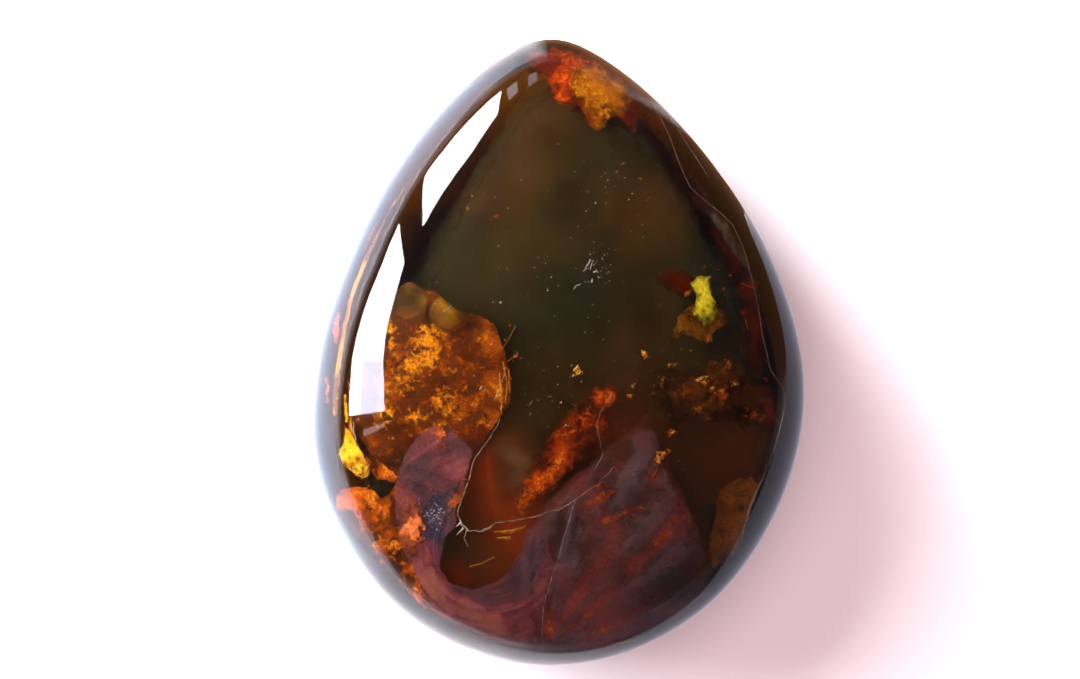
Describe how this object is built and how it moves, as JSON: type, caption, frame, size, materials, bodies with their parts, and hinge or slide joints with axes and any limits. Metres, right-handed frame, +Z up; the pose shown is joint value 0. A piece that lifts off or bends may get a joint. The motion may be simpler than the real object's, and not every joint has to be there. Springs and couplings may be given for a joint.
{
  "type": "amber stone",
  "caption": "Polished teardrop palm stone of dark, clear amber with a domed top and a ground flat underside to rest on.",
  "frame": {"origin": "on the resting plane, under the middle of the outline seen from above", "axes": "+Z up from the flat underside to the domed top, +Y along the stone's length towards its pointed end"},
  "size_m": [0.059, 0.075, 0.029],
  "materials": {
    "amber": "high polish, dark brown clear resin with orange inclusions"
  },
  "bodies": {
    "root": {"amber_stone": "amber"}
  },
  "joints": []
}
